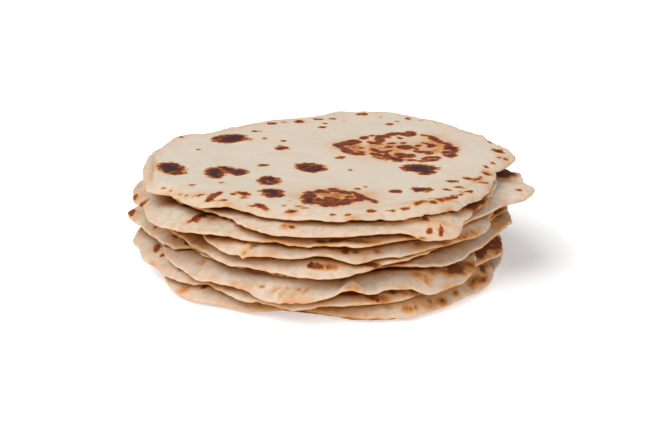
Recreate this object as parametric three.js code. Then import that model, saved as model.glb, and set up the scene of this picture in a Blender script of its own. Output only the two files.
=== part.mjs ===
// A stack of ten home-made flour tortillas, each laid loosely on the one below.
// Millimetres, +Z up, front towards -Y. A bearing is an angle in degrees, anticlockwise from +X
// seen from above, so the front is 270, the right 0 and the left 180.

import * as THREE from 'three';
import { mergeVertices } from 'three/addons/utils/BufferGeometryUtils.js';

// Where the stack's shared axis stands, from the middle of the whole outline
const AXIS_X = -1.3;
const AXIS_Y = -11.3;

// Thickness of the rim, and how far in from it the dough reaches its full thickness
const RIM_THICKNESS = 2;
const TAPER = 17;

// Height from one tortilla's middle to the next, and the least air between two that touch
const PITCH = 6.68;
const AIR = 0.5;

// Each middle rises and drops in long low waves, shifted from one tortilla to the next
const WAVE_HEIGHT = 0.9;
const WAVE_HEIGHT_ON_TOP = 0.45;
const WAVE_LENGTH_X = 120;
const WAVE_LENGTH_Y = 145;
const WAVE_SHIFT_X = 0.3;
const WAVE_SHIFT_Y = 0.37;
const WAVE_FADE = 20;

// A rim bends down slowly at first, and a rim with nothing under it hangs away at this slope
const BEND_POWER = 1.6;
const FALL_SLOPE = 1.4;

// Rims that don't show: one landmark every so many degrees, drawn within these limits
const BACK_STEP = 17;
const BACK_STEP_SPREAD = 0.15;
const BACK_REACH_SPREAD = 5;
const BACK_DROOP = 2.4;
const BACK_DROOP_SPREAD = 2.2;
const LEAST_LIFT = 0.3;
const SEED = 7001;
const SEED_STEP = 97;

// Baked dough is dull and dusty with flour
const DOUGH_ROUGHNESS = 0.85;

// Facets: sectors turned so that they meet the longest points of the rims, then rings of fixed
// radius in the middle, and rings that follow the rim
const SECTORS = 72;
const SECTOR_TURN = (1.5 * Math.PI) / 180;
const MIDDLE_RINGS = [0, 74];
const RIM_RINGS = [0.45, 0.78, 1];
const MERGE_DISTANCE = 1e-4;

// The map of what has been stacked so far
const MAP_STEP = 3;
const MAP_RINGS = 48;
const MAP_SECTORS = 120;

// The tortillas from the lowest up. Each rim has landmarks of [bearing, reach, height], where the
// reach is the distance from the axis and the height is that of the rim's middle above the table.
// `thickness` is that of the risen middle, `bend` the width of the drooping band, and `back` the
// usual reach of a rim behind the stack.
const TORTILLAS = [
  {
    name: 'tortilla_10',
    colour: 0xd9c3a4,
    thickness: 5.6,
    bend: 12,
    back: 103,
    rim: [
      [168, 99, 2.2], [200, 93, 1.6], [235, 84, 1.2], [250, 81, 1.1], [262, 82, 1.1],
      [274, 88, 1.1], [287, 96.5, 1.1], [300, 98.5, 1.1], [318, 97.5, 1.1], [340, 98.5, 1.1],
      [350, 101, 1.2], [357, 103, 1.2], [365, 108, 2], [374, 111, 4.5],
    ],
  },
  {
    name: 'tortilla_09',
    colour: 0xdac5a7,
    thickness: 5.8,
    bend: 13,
    back: 108,
    rim: [
      [170, 102, 8], [185, 101, 7.5], [202, 104, 5.4], [210, 105, 3.6], [217, 104, 3],
      [232, 97, 3], [246, 94, 3.2], [253, 91, 4.6], [258, 87, 5], [264, 88.5, 3.4],
      [274, 93, 3.2], [287, 102, 2.9], [300, 104, 2.9], [318, 102, 3.2], [332, 103.5, 3.6],
      [340, 104, 4.2], [348, 101.5, 4.8], [354, 97.5, 5.4], [361, 94, 6],
    ],
  },
  {
    name: 'tortilla_08',
    colour: 0xdcc7ab,
    thickness: 5.7,
    bend: 14,
    back: 109,
    rim: [
      [158, 113, 17], [171, 119, 18], [175, 121, 13.4], [182, 115, 12.4], [190, 113, 11.4],
      [201, 106, 10.8], [210, 106, 10.8], [218, 101, 11.3], [225, 97, 13.7], [229, 98, 12.3],
      [244, 101, 11.3], [258, 103, 10.8], [277, 100.5, 12.4], [294, 100, 11.5], [303, 98, 12.3],
      [320, 94, 13], [334, 94.5, 11.6], [343, 97.5, 11.6], [348, 100.5, 11.8], [358, 107, 12.3],
    ],
  },
  {
    name: 'tortilla_07',
    colour: 0xddc9ad,
    thickness: 6.0,
    bend: 16,
    back: 107,
    rim: [
      [165, 104, 22], [180, 103, 21.6], [194, 102, 21.3], [204, 103, 19.3], [225, 103, 17.8],
      [241, 101, 18.3], [252, 107, 14.8], [262, 107, 15.8], [270, 104.5, 18.3], [277, 103, 24],
      [284, 102, 19], [290, 102, 19.8], [297, 102, 18.3], [304, 106, 14.8], [313, 106, 15.3],
      [326, 103, 18.3], [334, 96, 20.8], [344, 88, 21.5], [354, 88, 22],
    ],
  },
  {
    name: 'tortilla_06',
    colour: 0xddc9ae,
    thickness: 5.6,
    bend: 14,
    back: 109,
    rim: [
      [160, 114, 31.5], [168, 119, 31.5], [172, 125, 29.4], [176, 120, 26.9], [182, 112, 25.9],
      [195, 104, 24.9], [204, 98, 24.9], [210, 92, 25.4], [233, 92, 24.9], [254, 96, 25.4],
      [275, 94, 27.4], [289, 91, 30.4], [300, 94, 29.4], [306, 99, 27.9], [319, 100, 26.4],
      [329, 98, 26.4], [342, 101, 26.9], [358, 109, 28.4], [361, 113, 28.4], [369, 113, 29.4],
    ],
  },
  {
    name: 'tortilla_05',
    colour: 0xdfccb2,
    thickness: 5.9,
    bend: 16,
    back: 109,
    rim: [
      [172, 105, 35.4], [190, 99, 34.4], [204, 97, 33.4], [222, 96, 31.9], [232, 100, 30.9],
      [252, 100, 30.4], [268, 105, 29.4], [280, 102, 31.9], [294, 99, 35.4], [304, 96, 35],
      [316, 91, 35.4], [332, 90, 35.4], [346, 93, 34.8], [356, 102, 34], [366, 111, 34.4],
    ],
  },
  {
    name: 'tortilla_04',
    colour: 0xe0cdb4,
    thickness: 5.6,
    bend: 14,
    back: 108,
    rim: [
      [170, 104, 43], [200, 98, 43], [219, 95, 42.4], [226, 99, 40.4], [238, 102, 37.4],
      [248, 102, 39.4], [261, 100, 39.9], [267, 99.5, 41.4], [280, 101, 37.4], [300, 99.5, 38.4],
      [318, 101, 39.4], [327, 103, 37.9], [338, 102, 38.4], [346, 100, 39.4], [364, 102, 41.4],
    ],
  },
  {
    name: 'tortilla_03',
    colour: 0xe0ceb6,
    thickness: 5.8,
    bend: 20,
    back: 112,
    rim: [
      [165, 112, 51], [180, 118, 48.4], [186, 117, 45.6], [193, 112, 45.4], [205, 114, 44.9],
      [216, 111, 44.9], [226, 104, 46.9], [240, 99, 46.9], [262, 98, 46.9], [280, 101, 46.9],
      [294, 99, 47.4], [310, 98, 45.6], [325, 98, 46.4], [339, 102, 46.4], [350, 110, 46.4],
      [353, 118.5, 47.5], [357, 122, 48.4], [361, 126, 48.9], [365, 121.5, 50.2],
      [375, 119, 51.2], [385, 117, 51.2],
    ],
  },
  {
    name: 'tortilla_02',
    colour: 0xe1d0b9,
    thickness: 5.5,
    bend: 14,
    back: 111,
    rim: [
      [165, 104, 57], [180, 103, 57], [199, 100, 57.2], [215, 96, 56.4], [228, 92, 55.4],
      [255, 103, 53.4], [267, 101, 52.9], [286, 102, 53.9], [293, 102, 52.9], [300, 109, 48.9],
      [310, 112, 47.9], [318, 105, 52.4], [334, 101, 53.9], [350, 101, 54.4], [378, 106, 56.4],
    ],
  },
  {
    name: 'tortilla_01',
    colour: 0xe2d2bc,
    thickness: 4.0,
    bend: 10,
    rim: [
      [6, 110, 60.4], [14, 119, 61.4], [28, 118, 63.4], [48, 123, 63.4], [72, 131, 64.2],
      [85, 129, 64.2], [94, 118, 63.4], [121, 110, 63.4], [134, 107, 63.4], [143, 116, 63.9],
      [158, 113, 63.6], [178, 111, 63.9], [188, 111, 62], [196, 113.5, 60.3], [200, 110, 59.8],
      [206, 103, 59.4], [222, 100, 59.4], [234, 92.5, 62.2], [250, 95, 60], [268, 96, 61],
      [295, 99, 60], [311, 102.5, 58.2], [320, 101, 59], [344, 101, 58.9], [355, 100, 61.2],
    ],
  },
];

// A seeded row of numbers from -1 to 1, the same on every run
function makeDraw(seed) {
  const multiplier = 16807;
  const modulus = 2 ** 31 - 1;
  let state = seed;
  return () => {
    state = (state * multiplier) % modulus;
    return (2 * state) / modulus - 1;
  };
}

// The whole rim of one tortilla: the landmarks that show, then drawn ones round the back
function wholeRim(tortilla, number) {
  const rim = tortilla.rim.map(([bearing, reach, height]) => ({ bearing, reach, height }));
  if (tortilla.back === undefined) {
    return rim;
  }
  const draw = makeDraw(SEED + SEED_STEP * number);
  const start = rim[rim.length - 1].bearing - 360;
  const hidden = rim[0].bearing - start;
  const count = Math.round(hidden / BACK_STEP) - 1;
  const lowest = RIM_THICKNESS / 2 + LEAST_LIFT;
  for (let i = 1; i <= count; i += 1) {
    rim.push({
      bearing: start + (hidden * (i + BACK_STEP_SPREAD * draw())) / (count + 1),
      reach: tortilla.back + BACK_REACH_SPREAD * draw(),
      height: Math.max(levelOf(number) - BACK_DROOP + BACK_DROOP_SPREAD * draw(), lowest),
    });
  }
  return rim;
}

// Rest height of the middle of a tortilla, counted from 0 for the lowest
function levelOf(number) {
  return TORTILLAS[0].thickness / 2 + PITCH * number;
}

// A smooth closed curve through landmarks that never swings past them
class RimCurve {
  constructor(landmarks, key) {
    const sorted = [...landmarks].map((p) => [((p.bearing % 360) + 360) % 360, p[key]]);
    sorted.sort((a, b) => a[0] - b[0]);
    this.points = sorted;
    this.slopes = sorted.map((point, i) => this.slopeAt(i));
  }

  // The point i places on, with its bearing unwrapped
  pointAt(i) {
    const count = this.points.length;
    const turn = Math.floor(i / count);
    const [bearing, value] = this.points[i - turn * count];
    return [bearing + 360 * turn, value];
  }

  slopeAt(i) {
    const [b0, v0] = this.pointAt(i - 1);
    const [b1, v1] = this.pointAt(i);
    const [b2, v2] = this.pointAt(i + 1);
    const before = (v1 - v0) / (b1 - b0);
    const after = (v2 - v1) / (b2 - b1);
    return before * after > 0 ? (2 * before * after) / (before + after) : 0;
  }

  at(bearing) {
    const wanted = ((bearing % 360) + 360) % 360;
    const next = this.points.findIndex(([b]) => b > wanted);
    const i = next === -1 ? this.points.length - 1 : next - 1;
    const count = this.points.length;
    const [b0, v0] = this.pointAt(i);
    const [b1, v1] = this.pointAt(i + 1);
    const width = b1 - b0;
    const t = (wanted - b0) / width;
    const m0 = this.slopes[(i + count) % count] * width;
    const m1 = this.slopes[(i + 1) % count] * width;
    const rise = t * t * (3 - 2 * t);
    return v0 * (1 - rise) + v1 * rise + m0 * t * (1 - t) ** 2 - m1 * t * t * (1 - t);
  }
}

// The larger of two heights, rounded where they cross
function roundedMax(a, b, rounding) {
  return 0.5 * (a + b + Math.hypot(a - b, rounding));
}

// The stack's upper skin so far, as heights over rings and sectors
class HeightMap {
  constructor() {
    this.heights = new Float64Array(MAP_RINGS * MAP_SECTORS);
  }

  static forEachCell(visit) {
    for (let ring = 0; ring < MAP_RINGS; ring += 1) {
      for (let sector = 0; sector < MAP_SECTORS; sector += 1) {
        visit(ring * MAP_STEP, (sector * 360) / MAP_SECTORS, ring * MAP_SECTORS + sector);
      }
    }
  }

  cell(ring, sector) {
    const r = Math.min(Math.max(ring, 0), MAP_RINGS - 1);
    const s = ((sector % MAP_SECTORS) + MAP_SECTORS) % MAP_SECTORS;
    return this.heights[r * MAP_SECTORS + s];
  }

  raise(surface) {
    HeightMap.forEachCell((radius, bearing, i) => {
      this.heights[i] = Math.max(this.heights[i], surface(radius, bearing));
    });
  }

  // Dough is too stiff to dip between near points, so each cell takes the highest one round it
  stretched() {
    const map = new HeightMap();
    HeightMap.forEachCell((radius, bearing, i) => {
      const ring = Math.floor(i / MAP_SECTORS);
      const sector = i % MAP_SECTORS;
      let highest = -Infinity;
      for (let dr = -1; dr <= 1; dr += 1) {
        for (let ds = -1; ds <= 1; ds += 1) {
          highest = Math.max(highest, this.cell(ring + dr, sector + ds));
        }
      }
      map.heights[i] = highest;
    });
    return map;
  }

  at(radius, bearing) {
    const r = radius / MAP_STEP;
    const s = (bearing * MAP_SECTORS) / 360;
    const r0 = Math.floor(r);
    const s0 = Math.floor(s);
    const inner = this.cell(r0, s0) * (1 - (s - s0)) + this.cell(r0, s0 + 1) * (s - s0);
    const outer = this.cell(r0 + 1, s0) * (1 - (s - s0)) + this.cell(r0 + 1, s0 + 1) * (s - s0);
    return inner * (1 - (r - r0)) + outer * (r - r0);
  }
}

// One tortilla, draped over what lies below it
class Tortilla {
  constructor(spec, number, below) {
    const rim = wholeRim(spec, number);
    this.number = number;
    this.spec = spec;
    this.below = below;
    this.reach = new RimCurve(rim, 'reach');
    this.rimHeight = new RimCurve(rim, 'height');
  }

  halfThickness(inside) {
    const grown = Math.min(Math.max(inside / TAPER, 0), 1);
    return 0.5 * (RIM_THICKNESS + (this.spec.thickness - RIM_THICKNESS) * grown);
  }

  // Long low waves, different in each tortilla and gone before the rim
  wave(radius, bearing, inside) {
    const angle = (bearing * Math.PI) / 180;
    const turnsX = (radius * Math.cos(angle)) / WAVE_LENGTH_X + WAVE_SHIFT_X * this.number;
    const turnsY = (radius * Math.sin(angle)) / WAVE_LENGTH_Y + WAVE_SHIFT_Y * this.number;
    const fade = Math.min(Math.max((inside - this.spec.bend / 2) / WAVE_FADE, 0), 1);
    const onTop = this.number === TORTILLAS.length - 1;
    const height = onTop ? WAVE_HEIGHT_ON_TOP : WAVE_HEIGHT;
    return height * fade * Math.sin(2 * Math.PI * turnsX) * Math.cos(2 * Math.PI * turnsY);
  }

  // Height of the dough's middle before it meets what lies below. The lowest lies flat on its
  // underside and only its rim lifts.
  freeHeight(radius, bearing) {
    const reach = this.reach.at(bearing);
    const inside = reach - radius;
    const bent = Math.min(Math.max(1 - inside / this.spec.bend, 0), 1) ** BEND_POWER;
    const rim = this.rimHeight.at(bearing);
    if (this.number === 0) {
      return this.halfThickness(inside) + (rim - RIM_THICKNESS / 2) * bent;
    }
    const middle = levelOf(this.number) + this.wave(radius, bearing, inside);
    return middle * (1 - bent) + rim * bent;
  }

  height(radius, bearing) {
    const free = this.freeHeight(radius, bearing);
    if (this.number === 0) {
      return free;
    }
    const half = this.halfThickness(this.reach.at(bearing) - radius);
    return roundedMax(free, this.below.at(radius, bearing) + AIR + half, 2 * AIR);
  }

  // The upper face, carried on past the rim as it falls away
  skin(radius, bearing) {
    const inside = this.reach.at(bearing) - radius;
    const beyond = Math.max(-inside, 0);
    return this.height(radius, bearing) + this.halfThickness(inside) - FALL_SLOPE * beyond;
  }

  ringRadius(ring, bearing) {
    if (ring < MIDDLE_RINGS.length) {
      return MIDDLE_RINGS[ring];
    }
    const flat = MIDDLE_RINGS[MIDDLE_RINGS.length - 1];
    return flat + (this.reach.at(bearing) - flat) * RIM_RINGS[ring - MIDDLE_RINGS.length];
  }

  // A turned disc whose rings are then laid on the draped surface
  geometry() {
    const rings = MIDDLE_RINGS.length + RIM_RINGS.length;
    const profile = [];
    for (let ring = 0; ring < rings; ring += 1) {
      profile.push(new THREE.Vector2(ring, -1));
    }
    for (let ring = rings - 1; ring >= 0; ring -= 1) {
      profile.push(new THREE.Vector2(ring, 1));
    }
    const disc = mergedSolid(new THREE.LatheGeometry(profile, SECTORS, Math.PI / 2 + SECTOR_TURN));
    const position = disc.getAttribute('position');
    for (let i = 0; i < position.count; i += 1) {
      const ring = Math.round(Math.hypot(position.getX(i), position.getZ(i)));
      const side = position.getY(i);
      const angle = Math.atan2(-position.getZ(i), position.getX(i));
      const bearing = (angle * 180) / Math.PI;
      const radius = this.ringRadius(ring, bearing);
      const half = this.halfThickness(this.reach.at(bearing) - radius);
      position.setXYZ(
        i,
        AXIS_X + radius * Math.cos(angle),
        AXIS_Y + radius * Math.sin(angle),
        this.height(radius, bearing) + side * half,
      );
    }
    disc.computeVertexNormals();
    return disc;
  }

  mesh() {
    const dough = new THREE.MeshStandardMaterial({
      color: this.spec.colour,
      roughness: DOUGH_ROUGHNESS,
      metalness: 0,
    });
    const mesh = new THREE.Mesh(this.geometry(), dough);
    mesh.name = this.spec.name;
    return mesh;
  }
}

// Joins shared corners and drops the flat triangles that a turned shape has on its axis
function mergedSolid(geometry) {
  geometry.deleteAttribute('normal');
  geometry.deleteAttribute('uv');
  const merged = mergeVertices(geometry, MERGE_DISTANCE);
  const index = merged.getIndex().array;
  const kept = [];
  for (let i = 0; i < index.length; i += 3) {
    const [a, b, c] = index.slice(i, i + 3);
    if (a !== b && b !== c && c !== a) {
      kept.push(a, b, c);
    }
  }
  merged.setIndex(kept);
  return merged;
}

function buildStack() {
  const stack = new THREE.Group();
  const skin = new HeightMap();
  TORTILLAS.forEach((spec, number) => {
    const tortilla = new Tortilla(spec, number, skin.stretched());
    stack.add(tortilla.mesh());
    skin.raise((radius, bearing) => tortilla.skin(radius, bearing));
  });
  return stack;
}

export default buildStack();
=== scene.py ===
"""Dresses a loose stack of ten home-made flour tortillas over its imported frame.

Every length is in millimetres until a mesh is written, when it becomes metres. A bearing is an
angle in degrees round the stack's own axis, anticlockwise from +X seen from above: the front of
the stack is at 270, the right at 0 and the left at 180.
"""

import logging
import math
from dataclasses import dataclass, field
from enum import Enum
from typing import Callable, Iterator

import bmesh
import bpy
import numpy as np
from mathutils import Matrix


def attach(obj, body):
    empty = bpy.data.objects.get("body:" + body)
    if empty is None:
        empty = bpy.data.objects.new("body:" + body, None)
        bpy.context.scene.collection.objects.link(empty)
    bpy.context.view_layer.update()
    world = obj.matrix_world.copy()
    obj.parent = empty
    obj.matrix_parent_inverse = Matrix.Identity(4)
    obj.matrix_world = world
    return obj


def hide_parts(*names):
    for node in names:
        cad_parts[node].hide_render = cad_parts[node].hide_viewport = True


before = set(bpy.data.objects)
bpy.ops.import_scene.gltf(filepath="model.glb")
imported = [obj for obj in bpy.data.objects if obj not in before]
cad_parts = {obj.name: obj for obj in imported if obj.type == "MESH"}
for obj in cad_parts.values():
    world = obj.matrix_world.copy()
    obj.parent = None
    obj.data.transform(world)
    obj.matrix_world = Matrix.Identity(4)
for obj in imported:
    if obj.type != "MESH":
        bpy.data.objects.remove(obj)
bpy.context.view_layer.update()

log = logging.getLogger("tortillas")

MM = 0.001
SLOT = "baked_dough"
BODY = "root"

# The least number that anything is divided by
TINY = 1e-6

# Where the stack's shared axis stands, from the middle of the whole outline
AXIS = np.array([-1.3, -11.3, 0.0])

# The dough: its rim, how far in from it the full thickness is reached, and how the rims bend
RIM_THICKNESS = 2.0
TAPER = 17.0
BEND_POWER = 1.6
FALL_SLOPE = 1.4

# The stack: one tortilla's middle to the next, and the least air between two that touch
LOWEST_THICKNESS = 5.6
PITCH = 6.68
AIR = 0.5

# The flat middle that all of them share, out to this radius
MIDDLE_RADIUS = 74.0


class Heat(Enum):
    """How dark the griddle made a spot, as the furthest in from its outline that its colour goes."""

    TAN = 0.0
    BROWN = 0.95
    CHAR = 5.0

    def spots(self, *rows: tuple[float, ...]) -> tuple["Spot", ...]:
        """Spots that are all this dark, from rows of u, v, width, height and, for some, tilt."""
        return tuple(Spot(*row, heat=self) for row in rows)


class Mark:
    """Something on the dough that the photograph shows."""

    @classmethod
    def rows(cls, *rows: tuple) -> tuple:
        """Makes one mark from each row of values, in the order of its attributes."""
        return tuple(cls(*row) for row in rows)


@dataclass(frozen=True)
class Spot(Mark):
    """A charred spot where the photograph shows it, as an ellipse in the photograph's pixels.

    Attributes:
        u: Middle of the spot, from the left.
        v: Middle of the spot, from the top.
        width: Width along the spot's own long side.
        height: Height across it.
        tilt: Turn of the long side in degrees, anticlockwise as seen.
        heat: How dark it is.
    """

    u: float
    v: float
    width: float
    height: float
    tilt: float = 0.0
    heat: Heat = Heat.CHAR


@dataclass(frozen=True)
class Bloom(Mark):
    """A soft golden patch laid out like a spot: toasting in the open, painted shade in the gaps under rims
    above. From a strength of about 1 on it is brown.
    """

    u: float
    v: float
    width: float
    height: float
    strength: float
    tilt: float = 0.0


@dataclass(frozen=True)
class Crease(Mark):
    """A pressed line in the dough between two pixels of the photograph.

    Attributes:
        start: One end, in pixels.
        end: The other end, in pixels.
        depth: How far it sinks, in millimetres. A ridge has a depth below nothing.
        width: Half its width, in millimetres.
        lap: How far the dough to the left of it stands up, in millimetres, as at a pleat.
    """

    start: tuple[float, float]
    end: tuple[float, float]
    depth: float
    width: float
    lap: float = 0.0


@dataclass(frozen=True)
class PhotoCamera:
    """The photograph's camera, a pinhole over a frame of 660 by 440 pixels."""

    distance: float = 1100.0
    elevation: float = 18.0
    focal: float = 1807.3
    aim_height: float = 30.0
    middle: tuple[float, float] = (328.0, 220.0)
    frame_width: float = 660.0
    sensor: float = 36.0
    farthest: float = 20.0

    def axes(self) -> tuple[np.ndarray, np.ndarray, np.ndarray]:
        """Unit directions of the view.

        Returns:
            To the right, up the picture, and back towards the camera.
        """
        lift = math.radians(self.elevation)
        right = np.array([1.0, 0.0, 0.0])
        up = np.array([0.0, math.sin(lift), math.cos(lift)])
        back = np.array([0.0, -math.cos(lift), math.sin(lift)])
        return right, up, back

    def place(self) -> np.ndarray:
        """Where the camera stands, in millimetres."""
        return AXIS + [0.0, 0.0, self.aim_height] + self.distance * self.axes()[2]

    def pixels(self, points: np.ndarray) -> np.ndarray:
        """Where points show in the photograph.

        Args:
            points: Rows of x, y, z in millimetres.

        Returns:
            Rows of pixels, across and down.
        """
        right, up, back = self.axes()
        way = points - self.place()
        scale = self.focal / -(way @ back)
        return np.stack([self.middle[0] + scale * (way @ right), self.middle[1] - scale * (way @ up)], 1)

    def towards(self, points: np.ndarray) -> np.ndarray:
        """Unit directions from points to the camera."""
        way = self.place() - points
        return way / np.linalg.norm(way, axis=1, keepdims=True)

    def build(self) -> None:
        """Makes the scene's camera."""
        data = bpy.data.cameras.new("photo_camera")
        data.sensor_width = self.sensor
        data.lens = self.sensor * self.focal / self.frame_width
        data.clip_end = self.farthest
        camera = bpy.data.objects.new("photo_camera", data)
        sideways = (self.frame_width / 2 - self.middle[0]) * self.distance / self.focal
        camera.location = (self.place() + [sideways, 0.0, 0.0]) * MM
        camera.rotation_euler = (math.radians(90.0 - self.elevation), 0.0, 0.0)
        bpy.context.scene.collection.objects.link(camera)
        bpy.context.scene.camera = camera


class Draw:
    """A seeded row of numbers from -1 to 1, the same on every run."""

    MULTIPLIER = 16807
    MODULUS = 2**31 - 1

    def __init__(self, seed: int) -> None:
        """Starts the row."""
        self.state = seed

    def __call__(self) -> float:
        """The next number."""
        self.state = self.state * self.MULTIPLIER % self.MODULUS
        return 2.0 * self.state / self.MODULUS - 1.0


class RimCurve:
    """A smooth closed curve through landmarks that never swings past them."""

    def __init__(self, bearings: list[float], values: list[float]) -> None:
        """Fits the curve.

        Args:
            bearings: Where the landmarks stand, in degrees.
            values: What the curve is there.
        """
        order = np.argsort(np.mod(bearings, 360.0))
        b = np.mod(bearings, 360.0)[order]
        v = np.asarray(values, float)[order]
        b = np.concatenate([b[-2:] - 360.0, b, b[:2] + 360.0])
        v = np.concatenate([v[-2:], v, v[:2]])
        run = np.diff(v) / np.diff(b)
        before, after = run[:-1], run[1:]
        level = before * after <= 0
        total = np.where(level, 1.0, before + after)
        self.slopes = np.where(level, 0.0, 2.0 * before * after / total)
        self.bearings = b[1:-1]
        self.values = v[1:-1]

    def at(self, bearing: np.ndarray) -> np.ndarray:
        """The curve at bearings in degrees."""
        wanted = np.mod(bearing, 360.0)
        i = np.clip(np.searchsorted(self.bearings, wanted, side="right") - 1, 0, len(self.bearings) - 2)
        width = self.bearings[i + 1] - self.bearings[i]
        t = (wanted - self.bearings[i]) / width
        rise = t * t * (3.0 - 2.0 * t)
        ends = self.values[i] * (1.0 - rise) + self.values[i + 1] * rise
        lean = self.slopes[i] * t * (1.0 - t) ** 2 - self.slopes[i + 1] * t * t * (1.0 - t)
        return ends + width * lean


class HeightMap:
    """The stack's upper skin so far, as heights over rings and sectors."""

    STEP = 1.5
    RINGS = 96
    SECTORS = 360
    REACH = 2

    def __init__(self) -> None:
        """Starts with the bare table."""
        self.heights = np.zeros((self.RINGS, self.SECTORS))

    def cells(self) -> tuple[np.ndarray, np.ndarray]:
        """The radius and bearing of every cell."""
        radius = np.arange(self.RINGS) * self.STEP
        bearing = np.arange(self.SECTORS) * 360.0 / self.SECTORS
        return np.meshgrid(radius, bearing, indexing="ij")

    def raise_to(self, surface: Callable[[np.ndarray, np.ndarray], np.ndarray]) -> None:
        """Lays a surface on the map, where it is higher.

        Args:
            surface: A function from radius and bearing to height.
        """
        self.heights = np.maximum(self.heights, surface(*self.cells()))

    def stretched(self) -> "HeightMap":
        """The skin as stiff dough meets it, with no dips narrower than the dough can follow.

        Returns:
            A new map, widened and then smoothed.
        """
        out = HeightMap()
        out.heights = self._sweep(self.heights, self.REACH, np.maximum.reduce)
        out.heights = self._sweep(out.heights, 1, lambda stack: np.mean(stack, axis=0))
        return out

    @staticmethod
    def _sweep(heights: np.ndarray, reach: int, join: Callable) -> np.ndarray:
        """Joins each cell with those within reach of it, round the circle and then outwards."""
        turned = join([np.roll(heights, s, axis=1) for s in range(-reach, reach + 1)])
        padded = np.pad(turned, ((reach, reach), (0, 0)), mode="edge")
        count = heights.shape[0]
        return join([padded[r : r + count] for r in range(2 * reach + 1)])

    def at(self, radius: np.ndarray, bearing: np.ndarray) -> np.ndarray:
        """The skin's height at points."""
        r = np.clip(radius / self.STEP, 0.0, self.RINGS - 1.001)
        s = np.mod(bearing, 360.0) * self.SECTORS / 360.0
        r0 = r.astype(int)
        s0 = s.astype(int) % self.SECTORS
        s1 = (s0 + 1) % self.SECTORS
        fr = r - r0
        fs = s - np.floor(s)
        inner = self.heights[r0, s0] * (1.0 - fs) + self.heights[r0, s1] * fs
        outer = self.heights[r0 + 1, s0] * (1.0 - fs) + self.heights[r0 + 1, s1] * fs
        return inner * (1.0 - fr) + outer * fr


class Lumps:
    """Smooth seeded unevenness: a sum of waves that cross in many directions."""

    def __init__(self, draw: Draw, longest: float, shortest: float, count: int = 10) -> None:
        """Draws the waves.

        Args:
            draw: Where the random numbers come from.
            longest: Longest wave, in millimetres.
            shortest: Shortest wave, in millimetres.
            count: How many waves are summed.
        """
        self.waves = []
        for i in range(count):
            length = longest * (shortest / longest) ** (i / (count - 1))
            angle = math.pi * draw()
            size = 2.0 * math.pi / length
            self.waves.append((size * math.cos(angle), size * math.sin(angle), math.pi * draw()))

    def at(self, x: np.ndarray, y: np.ndarray) -> np.ndarray:
        """The unevenness at points, mostly between -1 and 1."""
        total = sum(np.sin(kx * x + ky * y + turn) for kx, ky, turn in self.waves)
        return total / math.sqrt(len(self.waves))


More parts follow.
